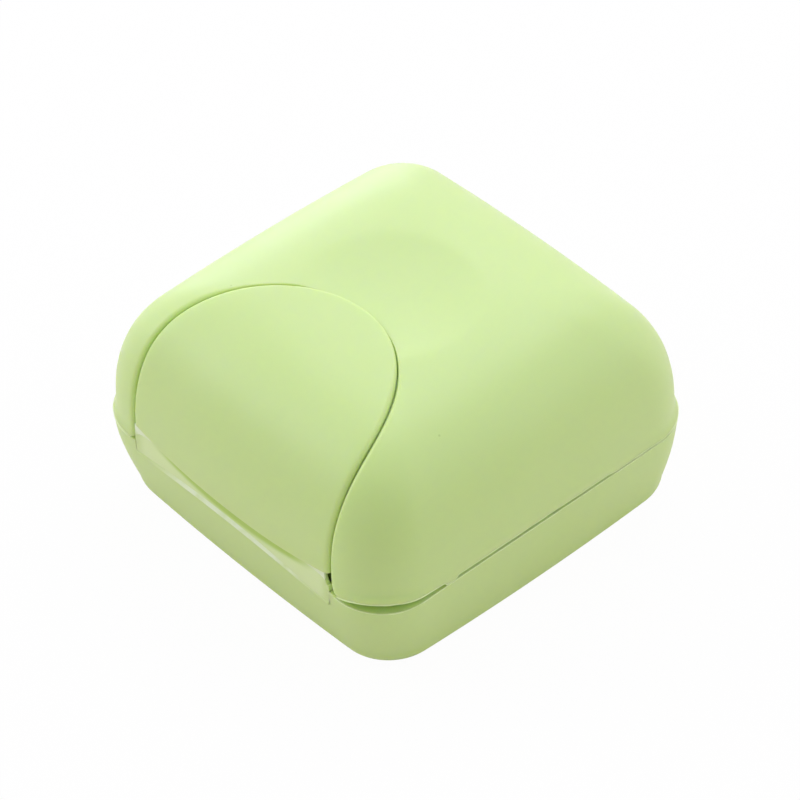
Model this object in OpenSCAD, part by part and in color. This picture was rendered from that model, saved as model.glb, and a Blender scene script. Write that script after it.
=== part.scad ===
// Travel soap box: a domed lid on a shallow base, held shut by a tongue that folds up from
// the front of the base. Origin at the middle of the underside, Z up, latch towards -Y,
// rear hinge towards +Y.

/* [Box] */
// Side of the square box at its widest line, on the lid
box_side = 70; // [62:0.5:84]
// Height of the lid's crown above the table, before the finger dish is sunk in it
crown_h = 39.9; // [36:0.1:48]
// Height of the base's rim, where the box parts
seam_h = 15.2; // [14:0.1:16.5]
// Gap between the base's rim and the lid's rim
seam_gap = 0.3; // [0.2:0.05:0.5]

/* [Base] */
// How far the base's rim lies behind the lid's rim
base_step = 0.2; // [0:0.05:0.8]
// How far the base draws in from its rim to its foot
base_taper = 1.6; // [0:0.1:2]
// Radius of the bottom edge
foot_round = 3; // [2.5:0.1:5]
// Corner radius in plan at the foot
foot_corner = 9.5; // [8:0.1:14]
// Outward bow of each side at the foot
foot_bow = 0.9; // [0.2:0.1:2]
// Corner radius in plan at the rim
rim_corner = 10.5; // [8:0.1:13]
// Outward bow of each side at the rim
rim_bow = 0.05; // [0.05:0.05:0.6]
// Thickness of the base's wall and floor
base_wall = 1.9; // [1.6:0.1:2.4]

/* [Lid] */
// How far the lid's rim tucks in below its widest line
lid_tuck = 0.4; // [0.1:0.1:1.5]
// Height of the lid's widest line
flare_h = 17.6; // [17.4:0.1:21]
// Corner radius in plan at the widest line
flare_corner = 11.2; // [8:0.1:14]
// Outward bow of each side at the widest line
flare_bow = 1.3; // [0.2:0.1:2]
// Share of the half width that the corner radius has at the crown
crown_corner_share = 0.1; // [0.06:0.01:0.5]
// Fullness of the dome across its width, 2 for an ellipse
dome_width_power = 4.5; // [2.6:0.05:5]
// Fullness of the dome up its height, 2 for an ellipse
dome_height_power = 2.3; // [2:0.05:3]
// Thickness of the lid's wall
lid_wall = 1.6; // [1.2:0.1:2]
// Thickness of the land around the lid's rim
land_h = 1.4; // [1:0.1:2]
// Depth that the lid's skirt reaches into the base, below the seam
skirt_drop = 2.7; // [2.2:0.1:3.5]
// Thickness of the skirt
skirt_wall = 1.2; // [1:0.1:1.6]
// Room between the skirt and the base's wall
skirt_room = 0.85; // [0.7:0.05:1.2]
// Diameter of the finger dish in the crown
dish_d = 29.2; // [20:0.1:34]
// Depth of the finger dish
dish_depth = 1; // [0.4:0.1:1.3]

/* [Latch] */
// Width of the tongue at its foot
tongue_w = 46; // [36:0.1:47]
// Distance from the middle of the box to the tip of the tongue
tip_y = 5.3; // [4:0.1:12]
// Distance from the box's widest line to where the tongue starts to narrow
shoulder_in = 0.7; // [0.5:0.1:6]
// Thickness of the tongue
tongue_t = 1.3; // [1:0.1:1.6]
// Air between the tongue and its bed in the lid
bed_air = 0.7; // [0.6:0.05:0.9]
// Thickness of the lid's wall under the bed
bed_wall = 1.3; // [1:0.1:1.8]
// Groove between the tongue's edge and the lid
edge_gap = 0.7; // [0.4:0.05:1]
// Thickness of the band between the two creases
band_t = 0.9; // [0.7:0.05:1]
// Air between the band and the base's wall behind it
band_air = 0.3; // [0.3:0.05:0.4]
// Height of the lower crease, between the base and the band
low_crease_h = 12.8; // [12:0.1:13.5]
// Height of the upper crease, between the band and the tongue
high_crease_h = 17.6; // [16.8:0.1:18.2]

/* [Film hinges] */
// Diameter of the round neck that stands for each film
film_d = 0.6; // [0.4:0.05:0.7]
// Free length of film on each side of a crease
film_reach = 0.5; // [0.45:0.05:0.7]
// Length of the film at the back
rear_film_l = 30; // [16:1:40]

/* [Drain tray] */
// Gap between the tray and the base's wall
tray_gap = 0.8; // [0.5:0.1:1.5]
// Height of the tray's plate above the base's floor
tray_lift = 3.6; // [2.5:0.1:4]
// Thickness of the tray's plate
tray_t = 1.4; // [1:0.1:1.8]
// Height of the ribs that the soap lies on
rib_h = 1.6; // [1:0.1:2]
// Width of each rib
rib_w = 1.4; // [1:0.1:2]
// Distance from one rib to the next
rib_pitch = 7.6; // [6:0.1:9]
// Number of ribs
rib_n = 7; // [3:1:7]
// Width of each drain slot
slot_w = 3; // [2:0.1:4]
// Length of each drain slot
slot_l = 15; // [8:0.5:19]
// Solid strip between the two rows of slots
slot_bridge = 14; // [6:0.5:16]
// Diameter of the tray's feet
tray_foot_d = 5; // [3:0.5:8]
// Distance of each foot from the middle of the tray, along both sides
tray_foot_at = 21; // [12:0.5:22]

/* [Seal] */
// Radial thickness of the seal ring
seal_w = 0.9; // [0.7:0.05:1]
// Height of the seal ring
seal_h = 1.2; // [0.8:0.1:1.4]
// Free room between the seal ring and the base's wall
seal_air = 0.25; // [0.15:0.05:0.4]
// Distance from the tip of the skirt to the seal ring
seal_up = 0.8; // [0.5:0.1:1]

/* [Hidden] */

// Steps along half a side, round half a corner, and up each profile
side_steps = 3;
corner_steps = 4;
edge_steps = 4;
wall_steps = 3;
tuck_steps = 4;
dome_step = 6;
dome_end = 87;
dish_steps = 4;
dish_middle_r = 3.5;
outline_steps = 28;
// Length by which a cutting shape runs past what it cuts
over = 5;
// Share of the bottom edge's round that also tightens its corners in plan
edge_corner_share = 0.6;
// Share of the sides' bow that is left at the crown
crown_bow_share = 0.7;
// Smallest corner radius inside a wall
least_corner = 0.8;

plastic = [0.80, 0.89, 0.66];
plastic_inside = [0.76, 0.86, 0.62];
film_colour = [0.86, 0.93, 0.74];
seal_colour = [0.93, 0.94, 0.90];

flare_half = box_side / 2;
lid_rim_half = flare_half - lid_tuck;
base_rim_half = lid_rim_half - base_step;
foot_half = base_rim_half - base_taper;
lid_rim_h = seam_h + seam_gap;
land_top = lid_rim_h + land_h;

base_inside_half = base_rim_half - base_wall;
base_inside_corner = rim_corner - base_wall;
skirt_half = base_inside_half - skirt_room;
skirt_corner = base_inside_corner - skirt_room;
mouth_half = skirt_half - skirt_wall;
mouth_corner = skirt_corner - skirt_wall;
skirt_tip_h = seam_h - skirt_drop;
seal_half = base_inside_half - seal_air;
seal_corner = base_inside_corner - seal_air;
seal_low = skirt_tip_h + seal_up;

bed_in = tongue_t + bed_air;
tongue_half = tongue_w / 2;
shoulder_y = flare_half - shoulder_in;
film_r = film_d / 2;
crease_y = base_rim_half - film_r;
rear_crease_y = lid_rim_half - film_r / 2;
rear_crease_h = seam_h + seam_gap / 2;
tongue_foot_h = high_crease_h + film_reach;
tray_bottom = base_wall + tray_lift;
tray_half = foot_half - base_wall - tray_gap;
tray_corner = foot_corner - base_wall - tray_gap;

// A square in plan with bowed sides and round corners, as points anticlockwise from the
// middle of the +X side.
// The side's arc and the corner's arc meet smoothly.
function side_radius(half, bow) = (half * half + bow * bow) / (2 * bow);
function side_centre(half, bow) = half - side_radius(half, bow);
function corner_centre(half, corner, bow) =
    let (s = side_centre(half, bow), reach = side_radius(half, bow) - corner)
    (s + sqrt(s * s - 2 * (s * s - reach * reach))) / 2;
function eighth(half, corner, bow) =
    let (big = side_radius(half, bow),
         s = side_centre(half, bow),
         c = corner_centre(half, corner, bow),
         meet = atan2(c, c - s))
    concat(
        [for (i = [0 : side_steps - 1])
            let (a = meet * i / side_steps) [s + big * cos(a), big * sin(a)]],
        [for (i = [0 : corner_steps])
            let (a = meet + (45 - meet) * i / corner_steps) [c + corner * cos(a), c + corner * sin(a)]]);
function quarter(half, corner, bow) =
    let (e = eighth(half, corner, bow))
    concat(e, [for (i = [len(e) - 2 : -1 : 1]) [e[i].y, e[i].x]]);
function turned(p, n) = n == 0 ? p : turned([-p.y, p.x], n - 1);
function bowed_square(half, corner, bow) =
    let (q = quarter(half, corner, bow))
    [for (n = [0 : 3]) for (p = q) turned(p, n)];

// A profile is a list of [half width, height, corner radius, bow] from the bottom up.
function mix(a, b, t) = a + (b - a) * t;
base_profile = concat(
    [for (i = [0 : edge_steps])
        let (a = 90 * i / edge_steps, in = foot_round * (1 - sin(a)))
        [foot_half - in, foot_round * (1 - cos(a)), foot_corner - edge_corner_share * in, foot_bow]],
    [for (i = [1 : wall_steps])
        let (t = i / wall_steps)
        [mix(foot_half, base_rim_half, sin(90 * t)), mix(foot_round, seam_h, t),
         mix(foot_corner, rim_corner, t), mix(foot_bow, rim_bow, t)]]);

function dome_point(a) =
    let (half = flare_half * pow(cos(a), 2 / dome_width_power),
         u = half / flare_half,
         corner_share = mix(crown_corner_share, flare_corner / flare_half, u),
         bow_share = flare_bow / flare_half * mix(crown_bow_share, 1, u))
    [half, mix(flare_h, crown_h, pow(sin(a), 2 / dome_height_power)),
     corner_share * half, bow_share * half];
lid_profile = concat(
    [for (i = [0 : tuck_steps - 1])
        let (t = i / tuck_steps)
        [mix(lid_rim_half, flare_half, sin(90 * t)), mix(lid_rim_h, flare_h, t),
         mix(rim_corner, flare_corner, t), mix(rim_bow, flare_bow, sin(90 * t))]],
    [for (a = [0 : dome_step : dome_end]) dome_point(a)],
    [dome_point(dome_end)]);

// The same profile, moved inwards by a wall's thickness along its own normal
function along(p, i) =
    let (a = p[max(i - 1, 0)], b = p[min(i + 1, len(p) - 1)], l = norm([b[0] - a[0], b[1] - a[1]]))
    [(b[0] - a[0]) / l, (b[1] - a[1]) / l];
function inset(p, wall) =
    [for (i = [0 : len(p) - 1])
        let (t = along(p, i), in = wall * t[1])
        [p[i][0] - in, p[i][1] + wall * t[0], max(p[i][2] - in, least_corner), p[i][3]]];
// A profile run straight down from its lowest ring, or straight up from its highest
function run_down(p, z) = concat([[p[0][0], z, p[0][2], p[0][3]]], p);
function run_up(p, z) = let (e = p[len(p) - 1]) concat(p, [[e[0], z, e[2], e[3]]]);

// The solid through one closed ring per level of a profile, with flat ends
module skin(rings, heights) {
    n = len(rings[0]);
    last = len(rings) - 1;
    points = [for (k = [0 : last]) for (p = rings[k]) [p.x, p.y, heights[k]]];
    sides = [for (k = [0 : last - 1]) for (i = [0 : n - 1])
        let (a = k * n + i, b = k * n + (i + 1) % n)
        each [[a, a + n, b], [b, a + n, b + n]]];
    foot = [[for (i = [0 : n - 1]) i]];
    head = [[for (i = [n - 1 : -1 : 0]) last * n + i]];
    polyhedron(points = points, faces = concat(foot, sides, head), convexity = 6);
}
module loft(profile) {
    skin([for (p = profile) bowed_square(p[0], p[2], p[3])], [for (p = profile) p[1]]);
}

// A flat-sided frame or block on the seam's own outline
module seam_block(half, corner, low, high) {
    translate([0, 0, low])
        linear_extrude(high - low)
            polygon(bowed_square(half, corner, rim_bow));
}
module seam_frame(half, corner, wall, low, high) {
    difference() {
        seam_block(half, corner, low, high);
        seam_block(half - wall, corner - wall, low - over, high + over);
    }
}

// The tongue's outline in plan: half an ellipse from the tip, then straight to past the front wall
module tongue_plan(grow) {
    half = tongue_half + grow;
    length = shoulder_y - tip_y + grow;
    front = flare_half + over;
    polygon(concat(
        [[half, -front]],
        [for (i = [0 : outline_steps])
            let (a = 180 * i / outline_steps) [half * cos(a), -shoulder_y + length * sin(a)]],
        [[-half, -front]]));
}
module tongue_prism(grow, low) {
    translate([0, 0, low])
        linear_extrude(crown_h + over - low)
            tongue_plan(grow);
}

// A box along the front wall, centred on the tongue
module front_bar(width, back_y, low, high) {
    translate([-width / 2, -flare_half - over, low])
        cube([width, flare_half + over - back_y, high - low]);
}

// A thin round neck along a crease
module film(width, y, z) {
    translate([-width / 2, y, z])
        rotate([0, 90, 0])
            cylinder(h = width, d = film_d, $fn = 32);
}

module base_shell() {
    color(plastic)
        difference() {
            loft(base_profile);
            loft(run_up(inset(base_profile, base_wall), seam_h + over));
            // Set-back behind the band, with a notch past each of its ends
            front_bar(tongue_w + 2 * edge_gap, base_rim_half - band_t - band_air,
                      low_crease_h - film_reach, seam_h + over);
            // Room for the film at the back
            translate([-rear_film_l / 2 - film_reach, rear_crease_y - film_reach,
                       rear_crease_h - film_reach])
                cube([rear_film_l + 2 * film_reach, over, over]);
        }
}

module drain_tray() {
    slot_x = (slot_bridge + slot_l) / 2;
    color(plastic_inside)
        union() {
            difference() {
                translate([0, 0, tray_bottom])
                    linear_extrude(tray_t)
                        polygon(bowed_square(tray_half, tray_corner, foot_bow));
                for (side = [-1, 1])
                    for (i = [0 : rib_n - 2])
                        translate([side * slot_x - slot_l / 2,
                                   (i - rib_n / 2 + 1) * rib_pitch - slot_w / 2,
                                   tray_bottom - over])
                            cube([slot_l, slot_w, tray_t + 2 * over]);
            }
            for (i = [0 : rib_n - 1])
                translate([-tray_half + tray_corner, (i - (rib_n - 1) / 2) * rib_pitch - rib_w / 2,
                           tray_bottom + tray_t / 2])
                    cube([2 * (tray_half - tray_corner), rib_w, tray_t / 2 + rib_h]);
            for (x = [-1, 1])
                for (y = [-1, 1])
                    translate([x * tray_foot_at, y * tray_foot_at, base_wall])
                        cylinder(h = tray_lift + tray_t / 2, d = tray_foot_d, $fn = 48);
        }
}

// The shallow dish that a finger reaches into to lift the tongue's tip. Its edge lies on the
// dome's mid line.
function round_ring(r) =
    [for (i = [0 : dish_sides - 1])
        let (a = 360 * i / dish_sides) [r * cos(a), r * sin(a)]];
dish_r = dish_d / 2;
dish_sides = 56;
dish_ball = (dish_r * dish_r + dish_depth * dish_depth) / (2 * dish_depth);
dish_edge_h = mix(flare_h, crown_h,
                  pow(1 - pow(dish_r / flare_half, dome_width_power), 1 / dome_height_power));
module finger_dish() {
    levels = [for (i = [0 : dish_steps])
        let (r = mix(dish_middle_r, dish_r, i / dish_steps))
        [r, dish_edge_h - dish_depth + dish_ball - sqrt(dish_ball * dish_ball - r * r)]];
    skin(concat([for (l = levels) round_ring(l[0])], [round_ring(dish_r)]),
         concat([for (l = levels) l[1]], [crown_h + over]));
}

module lid_shell() {
    color(plastic)
        union() {
            difference() {
                loft(lid_profile);
                // The hollow above the land, kept away from the bed's own walls
                difference() {
                    loft(inset(lid_profile, lid_wall));
                    seam_block(flare_half + over, rim_corner, 0, land_top);
                    tongue_prism(edge_gap + bed_wall, 0);
                }
                difference() {
                    loft(inset(lid_profile, bed_in + bed_wall));
                    seam_block(flare_half + over, rim_corner, 0, land_top);
                }
                seam_block(mouth_half, mouth_corner, lid_rim_h - over, land_top + over / 2);
                // The bed that the tongue lies in
                difference() {
                    tongue_prism(edge_gap, lid_rim_h - over);
                    loft(run_down(inset(lid_profile, bed_in), 0));
                }
                finger_dish();
                // Room for the film at the back
                translate([-rear_film_l / 2 - film_reach, rear_crease_y - film_reach, 0])
                    cube([rear_film_l + 2 * film_reach, over, rear_crease_h + film_reach]);
            }
            // The skirt that plugs into the base, with the groove for the seal ring
            difference() {
                seam_frame(skirt_half, skirt_corner, skirt_wall, skirt_tip_h, lid_rim_h + land_h / 2);
                seam_frame(seal_half, seal_corner, seal_w, seal_low, seal_low + seal_h);
            }
        }
}

module seal_ring() {
    color(seal_colour)
        seam_frame(seal_half, seal_corner, seal_w, seal_low, seal_low + seal_h);
}

module hinge_band() {
    low = low_crease_h + film_reach;
    color(plastic)
        translate([-tongue_half, -base_rim_half, low])
            cube([tongue_w, band_t, high_crease_h - film_reach - low]);
}

module latch_flap() {
    color(plastic)
        intersection() {
            difference() {
                loft(lid_profile);
                loft(run_down(inset(lid_profile, tongue_t), 0));
            }
            tongue_prism(0, tongue_foot_h);
        }
}

module low_crease() {
    color(film_colour)
        film(tongue_w, -crease_y, low_crease_h);
}

module high_crease() {
    color(film_colour)
        film(tongue_w, -crease_y, high_crease_h);
}

module rear_crease() {
    color(film_colour)
        film(rear_film_l, rear_crease_y, rear_crease_h);
}

base_shell();
drain_tray();
lid_shell();
seal_ring();
hinge_band();
latch_flap();
low_crease();
high_crease();
rear_crease();
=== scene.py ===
import math

import bpy
import numpy as np
from mathutils import Matrix, Vector
from mathutils.geometry import delaunay_2d_cdt


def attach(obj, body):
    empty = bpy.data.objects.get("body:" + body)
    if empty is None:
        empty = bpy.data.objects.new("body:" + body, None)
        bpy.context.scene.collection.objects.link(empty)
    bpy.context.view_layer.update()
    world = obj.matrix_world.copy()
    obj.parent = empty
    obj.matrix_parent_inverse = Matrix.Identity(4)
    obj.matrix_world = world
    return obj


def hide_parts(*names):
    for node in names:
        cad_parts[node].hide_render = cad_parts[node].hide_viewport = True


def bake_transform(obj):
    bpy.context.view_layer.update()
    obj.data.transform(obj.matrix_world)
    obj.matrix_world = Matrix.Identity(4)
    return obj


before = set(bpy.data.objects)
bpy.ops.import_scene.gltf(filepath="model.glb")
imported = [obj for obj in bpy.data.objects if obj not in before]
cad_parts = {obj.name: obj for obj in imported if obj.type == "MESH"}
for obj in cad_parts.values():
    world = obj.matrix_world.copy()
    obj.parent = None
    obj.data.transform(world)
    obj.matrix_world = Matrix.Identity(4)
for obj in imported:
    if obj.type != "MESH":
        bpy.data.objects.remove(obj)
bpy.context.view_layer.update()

# Camera: the photograph's view, from the front right corner and well above, with a long lens.
# The photograph is square, 800 pixels a side.
MM = 0.001
photo_side = 800
lens_pixels = 4236.5
camera_distance = 670.0
view_azimuth, view_elevation, view_roll = (math.radians(a) for a in (49.36, 43.12, -2.12))
aim_right, aim_up = 0.848, 17.189
towards_camera = Vector((math.sin(view_azimuth) * math.cos(view_elevation),
                         -math.cos(view_azimuth) * math.cos(view_elevation),
                         math.sin(view_elevation)))
level_right = Vector((math.cos(view_azimuth), math.sin(view_azimuth), 0))
level_up = towards_camera.cross(level_right)
camera_right = level_right * math.cos(view_roll) + level_up * math.sin(view_roll)
camera_up = level_up * math.cos(view_roll) - level_right * math.sin(view_roll)
camera_data = bpy.data.cameras.new("camera")
camera_data.sensor_width = 36
camera_data.lens = lens_pixels / photo_side * camera_data.sensor_width
camera = bpy.data.objects.new("camera", camera_data)
camera.matrix_world = Matrix((camera_right, camera_up, towards_camera)).transposed().to_4x4()
camera.location = (level_right * aim_right + Vector((0, 0, aim_up))
                   + towards_camera * camera_distance) * MM
bpy.context.scene.collection.objects.link(camera)
bpy.context.scene.camera = camera

# Lid: a deep domed cap of satin polypropylene, square in plan with bowed sides and round corners.
# It is moulded with a sunk bed that the tongue lies in and a shallow finger dish in its crown.
flare_half, flare_h, crown_h = 34.985, 17.6, 39.875
lid_rim_half, lid_rim_h = 34.6, 15.5
flare_corner, rim_corner, crown_corner_share = 10.8, 10.0, 0.1
flare_bow, rim_bow, crown_bow_share = 1.3, 0.05, 0.7
width_power, height_power = 4.5, 2.3
lid_wall, bed_depth, bed_wall = 1.6, 2.0, 1.3
dish_r, dish_depth, dish_soft = 14.8, 1.3, 0.06
tongue_half, tongue_length, shoulder_y = 23.0, 29.0, 34.3
groove, groove_at_tip, lid_edge_r, tongue_edge_r = 0.28, 0.15, 0.75, 0.9
wall_draft, groove_depth = 0.12, 1.0
chart_step = 0.8


def mix(a, b, t):
    return a + (b - a) * t


def smooth(t):
    t = np.clip(t, 0, 1)
    return t * t * (3 - 2 * t)


def side_and_corner(half, corner, bow):
    """Radius and centre of a side's arc, and centre of the corner's arc, which meet smoothly."""
    big = (half * half + bow * bow) / (2 * bow)
    side = half - big
    reach = big - corner
    return big, side, (side + np.sqrt(side * side - 2 * (side * side - reach * reach))) / 2


def ring_reach(angle, corner, bow):
    """Distance from the middle to a bowed square of half width 1, along a direction."""
    a = np.abs(np.mod(angle + np.pi / 4, np.pi / 2) - np.pi / 4)
    big, side, centre = side_and_corner(1.0, corner, bow)
    on_side = side * np.cos(a) + np.sqrt(big ** 2 - (side * np.sin(a)) ** 2)
    on_corner = centre * (np.cos(a) + np.sin(a)) + np.sqrt(
        np.maximum(corner ** 2 - centre ** 2 * (1 - np.sin(2 * a)), 0))
    turned = np.arctan2(on_side * np.sin(a), on_side * np.cos(a) - side)
    return np.where(turned <= np.arctan2(centre, centre - side), on_side, on_corner)


# The lid's profile from crown to rim: half width, height, and corner and bow as shares of the half width.
# Its flat cap takes even steps outwards, its shoulder even turns, and below the flare it tucks in.
cap_share, tuck_end = 0.73, -0.6
cap = np.linspace(0, cap_share, 200) * flare_half
turn = np.linspace(math.acos(cap_share ** (width_power / 2)), 0, 220)[1:]
cap_rise = (1 - (cap / flare_half) ** width_power) ** (1 / height_power)
half_row = np.r_[cap, flare_half * np.cos(turn) ** (2 / width_power)]
high_row = np.r_[flare_h + (crown_h - flare_h) * cap_rise,
                 mix(flare_h, crown_h, np.sin(turn) ** (2 / height_power))]
share = half_row / flare_half
corner_row = mix(crown_corner_share, flare_corner / flare_half, share)
bow_row = flare_bow / flare_half * mix(crown_bow_share, 1, share)
flare_at = len(half_row) - 1
tuck = np.linspace(1, tuck_end, 60)[1:]
tuck_half = mix(lid_rim_half, flare_half, np.sin(tuck * np.pi / 2))
half_row = np.r_[half_row, tuck_half]
high_row = np.r_[high_row, mix(lid_rim_h, flare_h, tuck)]
corner_row = np.r_[corner_row, mix(rim_corner, flare_corner, tuck) / tuck_half]
tuck_bow = np.maximum(mix(rim_bow, flare_bow, np.sin(tuck * np.pi / 2)), rim_bow / 2)
bow_row = np.r_[bow_row, tuck_bow / tuck_half]
run_row = np.r_[0, np.cumsum(np.hypot(np.diff(half_row), np.diff(high_row)))]
rim_run = float(np.interp(-lid_rim_h, -high_row, run_row))


def profile(run):
    return [np.interp(run, run_row, row) for row in (half_row, high_row, corner_row, bow_row)]


rim_shape = profile(np.array([rim_run]))[2:]


def chart_run(p, q):
    """How far down the profile a place lies on the dome's flat chart, where the crown is the origin."""
    angle, rho = np.arctan2(q, p), np.hypot(p, q)
    run = rho
    for _ in range(9):
        half, high, corner, bow = profile(run)
        run = rho / ring_reach(angle, corner, bow)
    return run


def on_dome(p, q):
    """The dome's point for a place on the chart."""
    run = chart_run(p, q)
    half, high, corner, bow = profile(run)
    k = np.where(run > 1e-6, half / np.maximum(run, 1e-6), 1)
    return np.stack([p * k, q * k, high], -1)


def dome_normal(p, q):
    nudge = 0.03
    along_p = on_dome(p + nudge, q) - on_dome(p - nudge, q)
    along_q = on_dome(p, q + nudge) - on_dome(p, q - nudge)
    n = np.cross(along_p, along_q)
    return n / np.linalg.norm(n, axis=-1, keepdims=True)


def to_chart(points):
    """The place on the chart of points that lie close to the dome."""
    angle, rho = np.arctan2(points[:, 1], points[:, 0]), np.hypot(points[:, 0], points[:, 1])
    tangent = np.gradient(np.stack([half_row, high_row]), axis=1)
    tangent /= np.linalg.norm(tangent, axis=0)
    run = np.full(len(points), 30.0)
    for _ in range(7):
        half, high, corner, bow = profile(run)
        size = rho / ring_reach(angle, corner, bow)
        i = ((size[:, None] - half_row) ** 2 + (points[:, 2:] - high_row) ** 2).argmin(1)
        step_out, step_up = size - half_row[i], points[:, 2] - high_row[i]
        run = run_row[i] + step_out * tangent[0, i] + step_up * tangent[1, i]
    return points[:, :2] * (run / size)[:, None]


def front_place(half, corner, bow, x):
    """How far forward the dome's rings reach at a distance to the right of the middle."""
    low_turn, high_turn = np.zeros(len(x)), np.full(len(x), np.pi / 4)
    for _ in range(40):
        middle = (low_turn + high_turn) / 2
        inside = half * ring_reach(middle, corner, bow) * np.sin(middle) < x
        low_turn, high_turn = np.where(inside, middle, low_turn), np.where(inside, high_turn, middle)
    return -half * ring_reach(low_turn, corner, bow) * np.cos(low_turn)


# The tongue's outline on the dome, from the right end of the lid's front rim, round the tip, to the left end
swing = np.linspace(0, np.pi, 181)
plan_x, plan_y = tongue_half * np.cos(swing), -shoulder_y + tongue_length * np.sin(swing)
run = np.hypot(plan_x, plan_y)
for _ in range(14):
    half, high, corner, bow = profile(run)
    size = np.hypot(plan_x, plan_y) / ring_reach(np.arctan2(plan_y, plan_x), corner, bow)
    run = np.interp(size, half_row[:flare_at + 1], run_row[:flare_at + 1])
top_part = np.stack([plan_x, plan_y, np.interp(run, run_row, high_row)], 1)
wall_run = np.linspace(rim_run, run[0], 40)[:-1]
half, high, corner, bow = profile(wall_run)
wall_x = np.full(len(wall_run), tongue_half)
right_wall = np.stack([wall_x, front_place(half, corner, bow, wall_x), high], 1)
left_wall = right_wall[::-1] * (-1, 1, 1)
outline = np.vstack([right_wall, top_part, left_wall])


def spaced(line, step):
    """The same line with points at even steps."""
    run = np.r_[0, np.cumsum(np.linalg.norm(np.diff(line, axis=0), axis=1))]
    even = np.linspace(0, run[-1], int(run[-1] / step) + 1)
    return np.stack([np.interp(even, run, line[:, k]) for k in range(line.shape[1])], 1)


outline = spaced(outline, 0.45)
outline_chart = to_chart(outline)
outline_normal = dome_normal(*outline_chart.T)
outline_tangent = np.gradient(outline, axis=0)
outwards = np.cross(outline_tangent, outline_normal)
outwards /= np.linalg.norm(outwards, axis=1, keepdims=True)
# The groove is narrow round the tip, wider low on the right, and flares where the lid's rim is rounded off
right_extra, right_flare, left_flare, flare_rise = 0.22, 1.5, 0.25, 2.2
outline_reach = np.hypot(outline[:, 0], outline[:, 1])
tip_share = smooth((outline_reach - 10 - 8 * smooth(-outline[:, 0] / 8)) / 16)
corner_rise = np.clip(1 - (outline[:, 2] - lid_rim_h) / flare_rise, 0, 1)
on_right = outline[:, 0] > 0
gap_row = (mix(groove_at_tip, groove, tip_share)
           + np.where(on_right, right_extra, 0) * (1 - smooth((outline[:, 2] - 18) / 9))
           + np.where(on_right, right_flare, left_flare) * (1 - np.sqrt(1 - 0.98 * corner_rise ** 2)))
# The line runs on below the rim, so that distances from it stay true there
below = np.arange(1, 9)[:, None] * (0, 0, -0.7)
long_outline = np.vstack([outline[:1] + below[::-1], outline, outline[-1:] + below])
long_gap = np.r_[np.full(8, gap_row[0]), gap_row, np.full(8, gap_row[-1])]


def from_outline(points):
    """Distance from the tongue's outline, below zero on the tongue, and the groove's width nearby."""
    apart, gap = np.empty(len(points)), np.empty(len(points))
    start, step = long_outline[:-1], np.diff(long_outline, axis=0)
    for i in range(0, len(points), 4000):
        block = points[i:i + 4000, None]
        t = np.clip(((block - start) * step).sum(2) / (step ** 2).sum(1), 0, 1)
        away = np.linalg.norm(block - start - t[..., None] * step, axis=2)
        j = away.argmin(1)
        each = np.arange(len(j))
        apart[i:i + 4000] = away[each, j]
        gap[i:i + 4000] = mix(long_gap[j], long_gap[j + 1], t[each, j])
    x, y = points[:, 0], points[:, 1]
    within = np.where(y < -shoulder_y, np.abs(x) < tongue_half,
                      (x / tongue_half) ** 2 + ((y + shoulder_y) / tongue_length) ** 2 < 1)
    return np.where(within, -apart, apart), gap


def strip(offsets, gap_share):
    """Chart points of lines beside the outline, each at its own distance, with their ends kept on the rim."""
    lines = []
    for offset in offsets:
        line = to_chart(outline + outwards * (offset + gap_share * gap_row)[:, None])
        for end in (0, -1):
            size = np.hypot(*line[end]) / ring_reach(np.arctan2(line[end, 1], line[end, 0]), *rim_shape)[0]
            line[end] *= rim_run / size
        lines.append(line)
    return lines


def chart_net(lines, closed, step, clear, keep):
    """Triangles over the chart that follow the given lines, with an even net of points between them.
    keep says which triangle centres stay."""
    places, edges = [], []
    for line, shut in zip(lines, closed):
        first = len(places)
        places += [tuple(p) for p in line]
        edges += [(first + i, first + i + 1) for i in range(len(line) - 1)]
        if shut:
            edges.append((len(places) - 1, first))
    fixed = np.array(places)
    ticks = np.arange(-rim_run - step, rim_run + 2 * step, step)
    net = np.stack(np.meshgrid(ticks, ticks), -1).astype(float)
    net[1::2, :, 0] += step / 2
    net = net.reshape(-1, 2)
    net = net[keep(net)]
    far = np.ones(len(net), bool)
    for i in range(0, len(net), 2000):
        far[i:i + 2000] = (np.linalg.norm(net[i:i + 2000, None] - fixed, axis=2) > clear).all(1)
    places += [tuple(p) for p in net[far]]
    flat, _, faces, _, _, _ = delaunay_2d_cdt([Vector(p) for p in places], edges, [], 0, 1e-6)
    flat = np.array([tuple(v) for v in flat])
    faces = np.array([f for f in faces if len(f) == 3])
    return flat, faces[keep(flat[faces].mean(1))]


def shell_object(name, outer, inner, faces, sharp=35):
    """A closed shell from two skins with the same net: outer faces up, inner faces down, edges bridged."""
    used = np.unique(faces)
    place = np.full(len(outer), -1)
    place[used] = np.arange(len(used))
    faces = place[faces]
    outer, inner = outer[used], inner[used]
    n = len(used)
    sides = dict.fromkeys(e for a, b, c in faces for e in ((a, b), (b, c), (c, a)))
    rim = [(a, b) for a, b in sides if (b, a) not in sides]
    all_faces = [tuple(f) for f in faces] + [(c + n, b + n, a + n) for a, b, c in faces]
    all_faces += [(b, a, a + n, b + n) for a, b in rim]
    return plain_object(name, np.vstack([outer, inner]), all_faces, sharp)


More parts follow.
